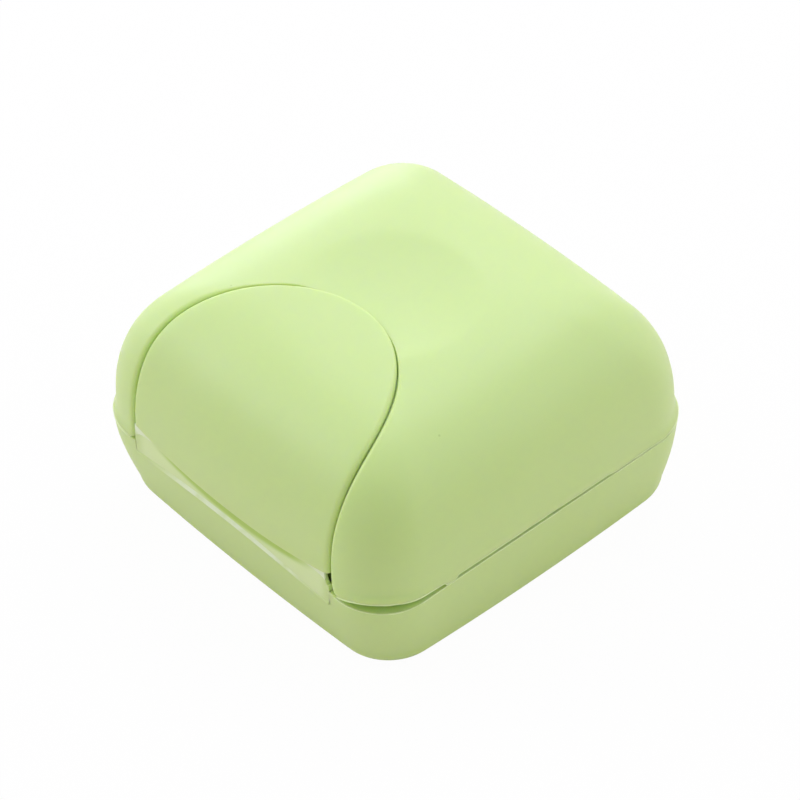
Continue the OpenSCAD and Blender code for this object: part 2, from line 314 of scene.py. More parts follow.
def plain_object(name, points, faces, sharp=35):
    mesh = bpy.data.meshes.new(name)
    mesh.from_pydata((np.asarray(points) * MM).tolist(), [], [tuple(int(i) for i in f) for f in faces])
    mesh.validate()
    mesh.calc_loop_triangles()
    corner = np.array([[mesh.vertices[i].co for i in t.vertices] for t in mesh.loop_triangles])
    if (corner[:, 0] * np.cross(corner[:, 1], corner[:, 2])).sum() < 0:
        mesh.flip_normals()
    mesh.shade_smooth()
    mesh.set_sharp_from_angle(angle=math.radians(sharp))
    piece = bpy.data.objects.new(name, mesh)
    bpy.context.scene.collection.objects.link(piece)
    return piece


def dish(points):
    """How deep the finger dish is at each point: a shallow bowl with a softened edge."""
    cap = 1 - (np.hypot(points[:, 0], points[:, 1]) / dish_r) ** 2
    return dish_depth * (cap + np.sqrt(cap ** 2 + dish_soft ** 2)) / 2


rim_ring = []
for angle in np.radians(np.r_[np.arange(-29.5, 301), np.arange(-59, -30, 0.25)]):
    reach = rim_run * ring_reach(angle, *rim_shape)[0]
    rim_ring.append((reach * math.cos(angle), reach * math.sin(angle)))
lid_offsets = (-1.4, -0.6, -wall_draft, 0, 0.03, 0.08, 0.16, 0.26, 0.4, 0.58, 0.76, 1.2, 2.0)
lid_strips = strip(lid_offsets, 1)
ends = np.array([line[k] for line in lid_strips for k in (0, -1)])
rim_ring = np.array(rim_ring)
rim_ring = rim_ring[(np.linalg.norm(rim_ring[:, None] - ends, axis=2) > 0.3).all(1)]
rim_ring = np.vstack([rim_ring, ends])
rim_ring = rim_ring[np.argsort(np.arctan2(rim_ring[:, 1], rim_ring[:, 0]))]
_, keep_first = np.unique(np.round(rim_ring, 4), axis=0, return_index=True)
rim_ring = rim_ring[np.sort(keep_first)]


def on_lid(places):
    return chart_run(*places.T) < rim_run - 0.004


chart, net_faces = chart_net([rim_ring, *lid_strips], [True] + [False] * len(lid_strips),
                             chart_step, chart_step * 0.45, on_lid)
skin = on_dome(*chart.T)
normal = dome_normal(*chart.T)
apart, gap = from_outline(skin)
edge = apart - gap


def rounded_edge(distance, radius):
    """How far an edge of this radius has fallen at a distance from it."""
    inside = np.clip(radius - distance, 0, radius)
    return radius - np.sqrt(radius ** 2 - inside ** 2)


# The rim warped a little as it cooled: it gapes at the front right corner and ends there in two small steps.
# Each pair is a direction in degrees and the rim's rise there.
rim_warps = ((-180, 0.25), (-56, 0.15), (-54, 0.3), (-50, 1.05), (-45, 1.3), (-41.1, 1.25), (-40.9, 1.1),
             (-36, 0.9), (-31.1, 0.7), (-30.9, 0.04), (-28.2, 0.04), (-28, 0.66), (-20, 0.66), (5, 0.58),
             (22, 0.52), (23, 0.25), (60, 0.3), (180, 0.25))
warp_turn, warp_rise = np.array(rim_warps).T
warp_fade, ripple = 3.5, 0.03


def rim_warp(points):
    """How far the warped rim stands above a true one, fading out up the wall."""
    around = np.arctan2(points[:, 1], points[:, 0])
    rise = (np.interp(around, np.radians(warp_turn), warp_rise)
            + ripple * np.sin(around * 41) * np.sin(around * 17 + 1))
    return rise * np.clip(1 - (points[:, 2] - lid_rim_h) / warp_fade, 0, 1)


edge_r = lid_edge_r * mix(0.3, 1, smooth((gap - groove_at_tip) / (groove - groove_at_tip)))
bed = mix(groove_depth + dish(skin), bed_depth, smooth(-apart / 1.3))
depth = np.where(edge > -wall_draft / 2, rounded_edge(edge, edge_r) + dish(skin), bed)
wall_in = mix(bed_depth + bed_wall, lid_wall + dish(skin) * 0.9, smooth((edge - 1.3) / 1.1))
at_rim = chart_run(*chart.T) > rim_run - 0.01
outer = skin - normal * depth[:, None]
outer[at_rim, 2] = lid_rim_h
inner = skin - normal * wall_in[:, None]
inner[:, 2] = np.maximum(inner[:, 2], lid_rim_h)
outer[:, 2] += rim_warp(outer)
inner[:, 2] += rim_warp(inner)
lid = shell_object("lid", outer, inner, net_faces)


def feed(tree, node, inputs):
    """Give each of a node's inputs a plain value or another node's output."""
    for socket, value in dict(inputs).items():
        if isinstance(value, bpy.types.NodeSocket):
            tree.links.new(value, node.inputs[socket])
        else:
            node.inputs[socket].default_value = value
    return node


def add_node(tree, kind, inputs=(), **settings):
    node = tree.nodes.new(kind)
    for setting, value in settings.items():
        setattr(node, setting, value)
    return feed(tree, node, inputs)


def new_group(name, kind, inputs, outputs):
    """An empty node group and its input node's outputs. An input is a socket kind and a plain value."""
    tree = bpy.data.node_groups.new(name, kind)
    for socket, (socket_kind, value) in inputs.items():
        made = tree.interface.new_socket(socket, in_out="INPUT", socket_type="NodeSocket" + socket_kind)
        if value is not None:
            made.default_value = value
    for socket, socket_kind in outputs.items():
        tree.interface.new_socket(socket, in_out="OUTPUT", socket_type="NodeSocket" + socket_kind)
    return tree, tree.nodes.new("NodeGroupInput").outputs


def math_on(tree, operation, *terms):
    """A math node's result: each term is a number or another node's output."""
    return add_node(tree, "ShaderNodeMath", enumerate(terms), operation=operation).outputs["Value"]


def tinted(tree, factor, a, b):
    """A colour that goes from a to b."""
    mixed = add_node(tree, "ShaderNodeMix", {"Factor": factor, "A": a, "B": b}, data_type="RGBA")
    return mixed.outputs["Result"]


# The plastic's look, as one group: even colour with faint clouding, a few small specks and a fine satin skin
plastic_look, given = new_group("moulded_plastic", "ShaderNodeTree", {
    "Colour": ("Color", (0.7, 0.8, 0.5, 1)), "Cloud colour": ("Color", (0.66, 0.78, 0.45, 1)),
    "Speck colour": ("Color", (0.55, 0.68, 0.36, 1)), "Cloud scale": ("Float", 60.0),
    "Speck scale": ("Float", 110.0), "Grain scale": ("Float", 2600.0), "Roughness low": ("Float", 0.42),
    "Roughness high": ("Float", 0.52)}, {"Color": "Color", "Roughness": "Float", "Height": "Float"})
place = add_node(plastic_look, "ShaderNodeTexCoord").outputs["Object"]
clouds = add_node(plastic_look, "ShaderNodeTexNoise",
                  {"Vector": place, "Scale": given["Cloud scale"], "Detail": 3}).outputs["Fac"]
specks = add_node(plastic_look, "ShaderNodeTexVoronoi",
                  {"Vector": place, "Scale": given["Speck scale"], "Randomness": 1}).outputs
grain = add_node(plastic_look, "ShaderNodeTexNoise",
                 {"Vector": place, "Scale": given["Grain scale"], "Detail": 2}).outputs["Fac"]
near = add_node(plastic_look, "ShaderNodeMapRange", {
    "Value": specks["Distance"], "From Min": 0.012, "From Max": 0.026, "To Min": 1, "To Max": 0})
drawn = add_node(plastic_look, "ShaderNodeSeparateColor", {"Color": specks["Color"]}).outputs["Red"]
few = math_on(plastic_look, "GREATER_THAN", drawn, 0.86)
speck = math_on(plastic_look, "MULTIPLY", near.outputs["Result"], few)
clouded = tinted(plastic_look, clouds, given["Colour"], given["Cloud colour"])
satin = add_node(plastic_look, "ShaderNodeMapRange", {
    "Value": clouds, "To Min": given["Roughness low"], "To Max": given["Roughness high"]})
add_node(plastic_look, "NodeGroupOutput", {
    "Color": tinted(plastic_look, speck, clouded, given["Speck colour"]),
    "Roughness": satin.outputs["Result"], "Height": grain})


def srgb(r, g, b):
    """A colour written as a screen shows it, 0 to 255, as the linear values that a shader takes."""
    return tuple(((c / 255 + 0.055) / 1.055) ** 2.4 if c > 10 else c / 255 / 12.92 for c in (r, g, b)) + (1,)


def moulded(name, colour, cloud, speck, grain_height=0.000004, glow=1.0):
    """A satin polypropylene: the look above on a plain shader, slightly translucent."""
    material = bpy.data.materials.new(name)
    material.use_nodes = True
    tree = material.node_tree
    skin = add_node(tree, "ShaderNodeGroup", {"Colour": colour, "Cloud colour": cloud, "Speck colour": speck},
                    node_tree=plastic_look).outputs
    bump = add_node(tree, "ShaderNodeBump", {
        "Distance": grain_height, "Strength": 0.6, "Height": skin["Height"]})
    feed(tree, tree.nodes["Principled BSDF"], {
        "Base Color": skin["Color"], "Roughness": skin["Roughness"], "Normal": bump.outputs["Normal"],
        "Specular IOR Level": 0.5, "Subsurface Weight": glow, "Subsurface Radius": (1.0, 1.1, 0.35),
        "Subsurface Scale": 0.0012})
    return material


shell_colours = srgb(209, 231, 156), srgb(205, 229, 150), srgb(190, 214, 138)
pastel = moulded("pastel_plastic", *shell_colours)
lid.data.materials.append(pastel)
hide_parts("lid_shell")
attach(lid, "lid")

# Flash: a hair-thin uneven fin that the mould left along the lid's lower edge, paler than the wall.
# It shows as a light line above the seam: its pale colour is partly the fin's own and partly a painted
# highlight.
flash_r, swell_step, bead_sides = 0.11, 6, 6


def lathe(rows, capped):
    """Points and faces through rows of equal length, closed on itself or capped at both ends."""
    n = len(rows[0])
    points = np.vstack(rows)
    faces = []
    last = len(rows) - 1 if capped else len(rows)
    for k in range(last):
        a, b = k * n, (k + 1) % len(rows) * n
        faces += [(a + i, a + (i + 1) % n, b + (i + 1) % n, b + i) for i in range(n)]
    if capped:
        faces += [tuple(range(n))[::-1], tuple(range(len(points) - n, len(points)))]
    return points, faces


def flash_bead(name, line, seed):
    """A thin round bead of uneven thickness along an open line."""
    travel = np.gradient(line, axis=0)
    aside = np.stack([travel[:, 1], -travel[:, 0], np.zeros(len(line))], 1)
    aside /= np.linalg.norm(aside, axis=1, keepdims=True)
    ticks = np.arange(0, len(line) + swell_step, swell_step)
    uneven = np.interp(np.arange(len(line)), ticks, np.random.default_rng(seed).random(len(ticks)))
    swell = flash_r * (0.7 + 0.6 * uneven)
    rows = [line + swell[:, None] * (aside * math.cos(a) + np.array([0, 0, math.sin(a)]))
            for a in np.linspace(0, 2 * np.pi, bead_sides + 1)[:-1]]
    piece = plain_object(name, *lathe(list(np.stack(rows, 1)), True), 80)
    piece.data.materials.append(flash_and_highlight_plastic)
    return piece


# Partly painted highlight: the fins are much paler than the wall and get no subsurface scattering
flash_and_highlight_plastic = moulded("flash_and_highlight_plastic", srgb(236, 252, 194), srgb(230, 248, 184), srgb(222, 240, 172), glow=0.0)
rim_points = outer[at_rim & (edge > 0.3)]
order = np.argsort(np.mod(np.arctan2(rim_points[:, 1], rim_points[:, 0]) + np.pi / 2, 2 * np.pi))
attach(flash_bead("lid_flash", spaced(rim_points[order], 0.3), 7), "lid")

# Tongue: the wide flap that folds up from the front and lies in the lid's bed, of the same plastic.
# Its edge is rounded, its tip stands over the finger dish, and its thin bowed foot laps over the band below.
tongue_t, side_t, foot_t, foot_edge = 1.3, 0.93, 0.5, 0.22
foot_mid_h, foot_rise, foot_reach = 16.65, 2.05, 22
tongue_offsets = (0, -0.03, -0.08, -0.16, -0.28, -0.42, -0.6, -0.9, -1.4)
foot_strips = strip(tongue_offsets, 0)


def foot_height(x):
    return foot_mid_h + foot_rise * (x / foot_reach) ** 2


def inner_line(line):
    """The part of a strip above the tongue's foot, with its ends cut exactly there."""
    points = on_dome(*line.T)
    above = points[:, 2] > foot_height(points[:, 0])
    first, last = np.argmax(above), len(above) - 1 - np.argmax(above[::-1])
    cut = []
    for low, high in ((first - 1, first), (last + 1, last)):
        gap_low = points[low, 2] - foot_height(points[low, 0])
        gap_high = points[high, 2] - foot_height(points[high, 0])
        cut.append(line[low] + (line[high] - line[low]) * gap_low / (gap_low - gap_high))
    return np.vstack([cut[:1], line[first:last + 1], cut[1:]])


tongue_lines = [inner_line(line) for line in foot_strips]


def foot_line(raise_by):
    """The tongue's foot on the chart, from left to right."""
    ends_x = [on_dome(*[np.array([v]) for v in line[k]])[0, 0] for line in tongue_lines for k in (0, -1)]
    xs = np.sort(np.r_[np.linspace(-tongue_half + 1.9, tongue_half - 1.9, 60), ends_x])
    zs = foot_height(xs) + raise_by
    run = np.interp(-zs, -high_row, run_row)
    half, high, corner, bow = profile(run)
    return np.stack([xs, front_place(half, corner, bow, np.abs(xs))], 1) * (run / half)[:, None]


foot_lines = [foot_line(h)[4:-4] for h in (0.05, 0.12, 0.22, 0.5, 0.9, 1.3, 1.7)]
tongue_chart_lines = [tongue_lines[0], foot_line(0), *foot_lines, *tongue_lines[1:]]


def on_tongue(places):
    points = on_dome(*places.T)
    d, _ = from_outline(points)
    above = points[:, 2] > foot_height(points[:, 0]) + 0.002
    return (d < -1e-4) & above & (chart_run(*places.T) < rim_run)


chart, net_faces = chart_net(tongue_chart_lines, [False] * len(tongue_chart_lines),
                             chart_step, chart_step * 0.45, on_tongue)
skin = on_dome(*chart.T)
normal = dome_normal(*chart.T)
apart, gap = from_outline(skin)
from_side = np.maximum(-apart, 0)
from_foot = np.maximum(skin[:, 2] - foot_height(skin[:, 0]), 0)
side_depth = np.minimum(side_t + dish(skin), tongue_t + 0.4)
soft = tongue_edge_r * mix(0.45, 1, smooth((gap - groove_at_tip) / (groove - groove_at_tip)))
depth = np.maximum(rounded_edge(from_side, soft), rounded_edge(from_foot, foot_edge))
thick = mix(foot_t, mix(side_depth, tongue_t, smooth(from_side / 1.1)), smooth((skin[:, 2] - 18.1) / 0.9))
under = thick - rounded_edge(np.minimum(from_side, from_foot), 0.06)
tongue = shell_object("tongue", skin - normal * depth[:, None], skin - normal * under[:, None], net_faces)
tongue.data.materials.append(pastel)
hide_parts("latch_flap")
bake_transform(tongue)

# Skirt: the lid's land and the thin wall below it that plugs into the base, with a groove for the seal.
# It is one moulding with the lid.
skirt_half, skirt_corner, skirt_wall, skirt_tip_h = 31.65, 7.75, 1.2, 12.5
land_top, land_front_y, land_front_half = 17.8, 32.2, 24.2
side_ticks, corner_ticks = (0, 4, 8, 12, 16, 19.5, 22.0, 22.8, 23.03, 23.04, 24.3), 12


def ring(half, corner, bow):
    """A bowed square as points, as many for every size: fixed distances on the sides, then the corners."""
    big, side, centre = side_and_corner(half, corner, bow)
    start = math.atan2(centre, centre - side)
    meet = big * math.sin(start)
    xs = np.array(side_ticks) * min(1, half / 31)
    ys = np.where(xs <= meet, side + np.sqrt(big ** 2 - xs ** 2),
                  centre + np.sqrt(np.maximum(corner ** 2 - np.maximum(xs - centre, 0) ** 2, 0)))
    if xs[-1] > meet:
        last = math.atan2(max(xs[-1] - centre, 0), ys[-1] - centre)
    else:
        last = math.atan2(meet - centre, side + big * math.cos(start) - centre)
    turn = np.linspace(last, math.pi / 4, corner_ticks + 1)[1:]
    eighth = np.vstack([np.stack([ys, xs], 1),
                        np.stack([centre + corner * np.cos(turn), centre + corner * np.sin(turn)], 1)])
    rings = [np.vstack([eighth, eighth[-2:0:-1, ::-1]])]
    for _ in range(3):
        rings.append(np.stack([-rings[-1][:, 1], rings[-1][:, 0]], 1))
    return np.vstack(rings)


def ring_row(half, corner, bow, high):
    flat = ring(half, corner, bow)
    return np.column_stack([flat, np.full(len(flat), high)])


skirt_section = ((0, skirt_tip_h + 0.3), (0, 13.28), (0.35, 13.3), (0.35, 14.5), (0, 14.52), (0, 16.9),
                 (-1.95, 17.0), (-1.6, land_top), (skirt_wall, land_top), (skirt_wall, skirt_tip_h + 0.25),
                 (0.95, skirt_tip_h), (0.25, skirt_tip_h))
rows = []
for inwards, high in skirt_section:
    row = ring_row(skirt_half - inwards, skirt_corner - inwards, rim_bow, high)
    front = (row[:, 1] < -land_front_y) & (np.abs(row[:, 0]) < land_front_half)
    row[front, 1] = -land_front_y
    rows.append(row)
skirt = plain_object("lid_skirt", *lathe(rows, False))
# Painted shade: the skirt is a deeper, more olive green than the shell, for the shade it lies in behind the
# seam's gap
skirt_shaded_plastic = moulded("skirt_shaded_plastic", srgb(203, 229, 132), srgb(199, 226, 126), srgb(188, 212, 116))
skirt.data.materials.append(skirt_shaded_plastic)
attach(skirt, "lid")

# Seal ring: a soft silicone ring that is stretched into the skirt's groove.
# Its rounded lip brushes the base's wall and keeps the water in.
seal_section = ((-0.6, 13.9), (-0.45, 13.45), (-0.05, 13.34), (0.3, 13.34), (0.3, 14.46), (-0.05, 14.46),
                (-0.45, 14.35))
rows = [ring_row(skirt_half - a, skirt_corner - a, rim_bow, high) for a, high in seal_section]
seal = plain_object("seal_ring_soft", *lathe(rows, False), sharp=60)
silicone = moulded("soft_silicone", srgb(238, 240, 230), srgb(232, 236, 222), srgb(214, 220, 200), glow=0.4)
seal.data.materials.append(silicone)
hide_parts("seal_ring")
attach(seal, "lid")

# Base: a shallow tub with a rounded foot, one moulding with the hinges and the band.
# Its front wall is set back behind the band, which leaves a small notch past each of its ends.
base_rim_half, base_taper, seam_h, foot_round, floor_round, rim_round = 34.4, 1.6, 15.2, 3.0, 1.1, 0.2
base_corner, foot_corner, foot_bow, base_wall = 9.4, 8.8, 0.9, 1.9
foot_half, foot_shift, rim_dip = base_rim_half - base_taper, 0.4, 0.3
ledge_h, ledge_rise, ledge_fade, set_back_y, notch_x = 12.45, 0.85, 2.4, 33.05, 23.035
rise_at, rise_half = 3, 23


def wall_level(t, high, inwards):
    """One ring of the wall, t of the way up from the foot's rounding to the seam."""
    return (mix(foot_half, base_rim_half, math.sin(t * math.pi / 2)) - inwards, high,
            mix(foot_corner, base_corner, t) - inwards, mix(foot_bow, rim_bow, t))


base_levels = [(foot_half - foot_round * (1 - math.sin(a)), foot_round * (1 - math.cos(a)),
                foot_corner - 0.6 * foot_round * (1 - math.sin(a)), foot_bow)
               for a in np.linspace(0, math.pi / 2, 11)]
wall_heights = np.r_[np.linspace(foot_round, ledge_h - 0.02, 11)[1:], ledge_h,
                     np.linspace(ledge_h, seam_h - rim_round, 6)[1:]]
base_levels += [wall_level((high - foot_round) / (seam_h - foot_round), high, 0) for high in wall_heights]
outer_rows = len(base_levels)
base_levels += [(base_rim_half - rim_round * (1 - math.cos(a)), seam_h - rim_round * (1 - math.sin(a)),
                 base_corner, rim_bow) for a in np.linspace(0, math.pi / 2, 5)[1:]]
rim_rows = len(base_levels)
base_levels.append((base_rim_half - base_wall + 0.15, seam_h, base_corner - base_wall, rim_bow))
base_levels += [wall_level(t, mix(foot_round, seam_h - 0.15, t), base_wall) for t in np.linspace(1, 0, 8)]
base_levels += [(foot_half - base_wall - floor_round * (1 - math.cos(a)), foot_round - floor_round * math.sin(a),
                 foot_corner - base_wall, foot_bow) for a in np.linspace(0, math.pi / 2, 6)[1:]]


def middle_rise(x):
    """The rise of the ledge and the low crease: most a little left of the middle, none at the ends."""
    return np.maximum(0, 1 - ((x + rise_at) / rise_half) ** 2)


rows = []
for k, (half, high, corner, bow) in enumerate(base_levels):
    row = ring_row(half, corner, bow, high)
    row[:, :2] += foot_shift * max(0, 1 - high / 12)
    x = row[:, 0]
    front = (row[:, 1] < -25) & (np.abs(x) < notch_x)
    if outer_rows - 7 < k < rim_rows:
        # The ledge under the band rises a little in its middle
        lift = ledge_rise * middle_rise(x) * (1 - smooth(abs(high - ledge_h) / ledge_fade))
        row[:, 2] += np.where(front, lift, 0)
        if k >= outer_rows - 5:
            row[:, 1] = np.where(front, np.maximum(row[:, 1], -set_back_y), row[:, 1])
    around = np.degrees(np.arctan2(row[:, 1], row[:, 0]))
    row[:, 2] -= rim_dip * np.exp(-((around + 43) / 9) ** 2) * min(max(row[0, 2] - 12, 0) / 3, 1)
    rows.append(row)
base = plain_object("base", *lathe(rows, True))
base.data.materials.append(pastel)
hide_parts("base_shell")
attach(base, "base")

# The base's own flash: a pale fin on the outer edge of its rim, from one end of the band round to the other, its
# paleness partly a painted highlight on that edge
edge_row = rows[outer_rows]
edge_turn = np.mod(np.arctan2(edge_row[:, 1], edge_row[:, 0]) + np.pi / 2, 2 * np.pi)
edge_row = edge_row[np.argsort(edge_turn)]
edge_row = edge_row[(np.abs(edge_row[:, 0]) > notch_x + 0.3) | (edge_row[:, 1] > 0)]
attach(flash_bead("base_flash", spaced(edge_row + (0, 0, -0.03), 0.35), 11), "base")

# Band: the narrow strip between the two front creases, one moulding with the base and of its plastic.
# Its edges are rounded, and its top leans back behind the tongue's foot.
band_high, band_front, band_t, band_soft, band_lean_most = 17.15, 34.4, 0.9, 0.12, 0.8


def bar(name, xs, section, sharp=40):
    """A bar along X: section(x) gives its outline as (y, z) points, the same number at each x."""
    rows = [np.array([(x, y, z) for y, z in section(x)]) for x in xs]
    return plain_object(name, *lathe(rows, True), sharp)


def band_lean(x):
    """How far the band's top leans back: most in the middle, none at the ends."""
    return band_lean_most * max(0, 1 - (x / tongue_half) ** 2) ** 0.6


def band_section(x):
    """The band's rounded outline. Its front eases back near the ends, where its top also drops."""
    soft, middle, lean = band_soft, middle_rise(x), band_lean(x)
    low = 12.75 + 1.3 * middle
    high = band_high + 0.75 * (x / foot_reach) ** 4 - 1.7 * float(smooth((x - 21.7) / 0.9))
    front = -band_front + 0.07 * float(smooth((abs(x) - 20) / 2.8))
    front += 0.05 * float(smooth((abs(x) - 22.8) / 0.2))
    back = -band_front + band_t
    corners = ((front + soft + 0.2 * middle, low + soft, 180), (back - soft, low + soft, 270),
               (back + 0.2 * lean - soft, high - soft, 0), (front + lean + soft, high - soft, 90))
    return [(cy + soft * math.cos(a), cz + soft * math.sin(a))
            for cy, cz, start in corners for a in np.radians(np.linspace(start, start + 90, 4))]


band_ends = np.array([-23.035, -22.97, -22.85, -22.6, -22.3, -22.0, -21.7])
band = bar("band", np.r_[band_ends, np.linspace(-21, 21, 40), -band_ends[::-1]], band_section)
# Its look, as a group: a painted shade of deeper green under the foot's lip, elsewhere a lighter green that is
# partly painted light and partly whitening from bending, whitened near both ends, and plain at the very ends
band_light_shade_and_whitening, given = new_group("band_painted_light_shade_and_whitening", "ShaderNodeTree", {
    # The band's main colour is lighter than the shell: partly whitening, partly painted light. The deeper green
    # is painted shade under the lip.
    "Plain": ("Color", shell_colours[0]), "Bright": ("Color", srgb(224, 244, 178)),
    "Painted lip shade": ("Color", srgb(184, 216, 104)), "White": ("Color", srgb(244, 253, 226))}, {"Color": "Color"})


def fade(value, low, high):
    """0 where the value is at low, 1 where it is at high, in millimetres."""
    ends = {"Value": value, "From Min": low * MM, "From Max": high * MM}
    return add_node(band_light_shade_and_whitening, "ShaderNodeMapRange", ends, interpolation_type="SMOOTHSTEP").outputs["Result"]


def below_curve(rise, middle_h):
    """How far below a line that bends up towards the band's ends, as the foot's lip does."""
    squared = math_on(band_light_shade_and_whitening, "MULTIPLY", side, side)
    line = math_on(band_light_shade_and_whitening, "MULTIPLY_ADD", squared, rise / foot_reach ** 2 / MM, middle_h * MM)
    return math_on(band_light_shade_and_whitening, "SUBTRACT", line, split["Z"])


place = add_node(band_light_shade_and_whitening, "ShaderNodeTexCoord").outputs["Object"]
split = add_node(band_light_shade_and_whitening, "ShaderNodeSeparateXYZ", {"Vector": place}).outputs
side = math_on(band_light_shade_and_whitening, "ABSOLUTE", split["X"])
# The lip overhangs most in the middle, so the band comes into sight lower there, and the painted shade under the
# lip reaches lower there too
below_sight = below_curve(foot_rise + 1.15, foot_mid_h - 1.87)
# Painted shade: a deeper green just below the lip, where its shadow falls, fading out towards the ends
lip_shade = math_on(band_light_shade_and_whitening, "MULTIPLY", fade(below_sight, 1.0, 0.05), fade(side, 20, 13))
pale = math_on(band_light_shade_and_whitening, "MULTIPLY", fade(below_curve(foot_rise, foot_mid_h), 0.55, 0.3), fade(side, 13, 19))
colour = tinted(band_light_shade_and_whitening, lip_shade, given["Bright"], given["Painted lip shade"])
colour = tinted(band_light_shade_and_whitening, fade(side, 20.5, 22.9), colour, given["Plain"])
add_node(band_light_shade_and_whitening, "NodeGroupOutput", {"Color": tinted(band_light_shade_and_whitening, pale, colour, given["White"])})


def recoloured(material, group, **values):
    """The material with its base colour from another group instead."""
    tree = material.node_tree
    node = add_node(tree, "ShaderNodeGroup", values, node_tree=group)
    feed(tree, tree.nodes["Principled BSDF"], {"Base Color": node.outputs["Color"]})
    return material


# The band's base colour comes from the group above, with its painted light, painted shade under the lip and
# whitening
band_plastic = moulded("band_plastic", srgb(222, 242, 176), srgb(214, 237, 164), srgb(202, 226, 150), glow=0.25)
band.data.materials.append(recoloured(band_plastic, band_light_shade_and_whitening))
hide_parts("hinge_band")
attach(band, "band")

# Film hinges: thin strips of the same moulding that bend at each crease. Bending has whitened them:
# the low one along its middle, the high one near its ends.
whitening, given = new_group("stress_whitening", "ShaderNodeTree", {
    "Colour": ("Color", (0.7, 0.8, 0.5, 1)), "White": ("Color", (0.9, 0.95, 0.85, 1)),
    "Middle": ("Float", 1.0), "Reach": ("Float", 0.02)}, {"Color": "Color"})
place = add_node(whitening, "ShaderNodeTexCoord").outputs["Object"]
along = add_node(whitening, "ShaderNodeSeparateXYZ", {"Vector": place}).outputs["X"]
share = math_on(whitening, "DIVIDE", math_on(whitening, "ABSOLUTE", along), given["Reach"])
at_ends = add_node(whitening, "ShaderNodeMapRange", {"Value": share, "From Min": 0.45, "From Max": 1},
                   interpolation_type="SMOOTHSTEP").outputs["Result"]
in_middle = add_node(whitening, "ShaderNodeMapRange", {"Value": at_ends, "To Min": 1, "To Max": 0})
chosen = add_node(whitening, "ShaderNodeMix",
                  {"Factor": given["Middle"], "A": at_ends, "B": in_middle.outputs["Result"]})
patches = add_node(whitening, "ShaderNodeTexNoise", {"Vector": place, "Scale": 400, "Detail": 4})
patchy = add_node(whitening, "ShaderNodeMapRange",
                  {"Value": patches.outputs["Fac"], "From Min": 0.12, "From Max": 0.52})
amount = math_on(whitening, "MULTIPLY", patchy.outputs["Result"], chosen.outputs["Result"])
add_node(whitening, "NodeGroupOutput", {"Color": tinted(whitening, amount, given["Colour"], given["White"])})


def film_material(name, middle, reach):
    """The shell's plastic with its whitened part in the middle (1) or at the ends (0)."""
    return recoloured(moulded(name, *shell_colours, glow=0.15), whitening, Colour=shell_colours[0],
                      White=srgb(238, 253, 212), Middle=middle, Reach=reach)


def film_strip(name, xs, edges, thick, bulge):
    """A thin strip whose low and high edges are given at each x as (y, z), bulged outwards between them."""
    def section(x):
        (low_y, low_z), (high_y, high_z) = edges(x)
        t = np.linspace(0, 1, 9)
        zs = mix(low_z, high_z, t)
        front = mix(low_y, high_y, t) - bulge * np.sin(t * np.pi)
        return list(zip(front, zs)) + list(zip((front + thick)[::-1], zs[::-1]))
    return bar(name, xs, section, sharp=60)


def low_film_edges(x):
    middle = middle_rise(x)
    return (-34.4, 12.35 + ledge_rise * middle), (-34.32 + 0.45 * middle, 12.85 + 1.35 * middle)


def high_film_edges(x):
    return (-34.32 + 0.9 * band_lean(x), 16.7), (-34.3 + 0.12 * band_lean(x), 18.9)


low_film = film_strip("low_film_hinge", np.linspace(-22.95, 22.95, 47), low_film_edges, 0.35, 0.1)
low_film.data.materials.append(film_material("low_film_plastic", 1.0, 0.021))
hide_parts("low_crease")
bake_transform(low_film)
high_film = film_strip("high_film_hinge", np.linspace(-22.9, 22.1, 46), high_film_edges, 0.3, 0.0)
high_film.data.materials.append(film_material("high_film_plastic", 0.0, 0.0228))
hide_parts("high_crease")
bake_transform(high_film)
rear_film = film_strip("rear_film_hinge", np.linspace(-14.95, 14.95, 31),
                       lambda x: ((34.35, 14.75), (34.35, 15.95)), 0.28, 0)
rear_film.data.materials.append(film_material("rear_film_plastic", 1.0, 0.015))
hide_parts("rear_crease")
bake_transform(rear_film)

# Drain tray: a loose plate that stands in the base, with two columns of drain slots between its ribs.
# It is a moulding of its own in the same plastic, with softly rounded edges, and lifts out to be rinsed.
tray_low, tray_high, tray_half, tray_corner, tray_edge = 5.5, 6.9, 30.1, 6.8, 0.35
edge_steps = (0, 0.1, 0.22, tray_edge)
rib_count, rib_pitch, slot_long, slot_wide, slot_bridge = 7, 7.6, 15.0, 3.0, 14.0
slot_places = [(side * (slot_bridge + slot_long) / 2, (i - (rib_count - 2) / 2) * rib_pitch)
               for side in (-1, 1) for i in range(rib_count - 1)]


def from_slot(places):
    """Distance from the edge of the nearest slot, which has round ends."""
    away = np.full(len(places), 99.0)
    for x, y in slot_places:
        along = np.maximum(np.abs(places[:, 0] - x) - (slot_long - slot_wide) / 2, 0)
        away = np.minimum(away, np.hypot(along, places[:, 1] - y) - slot_wide / 2)
    return away


def from_tray_side(places):
    angle = np.arctan2(places[:, 1], places[:, 0])
    reach = tray_half * ring_reach(angle, tray_corner / tray_half, foot_bow / tray_half)
    return reach - np.hypot(places[:, 0], places[:, 1])


def on_tray(places):
    return (from_slot(places) > -1e-4) & (from_tray_side(places) > -0.05)


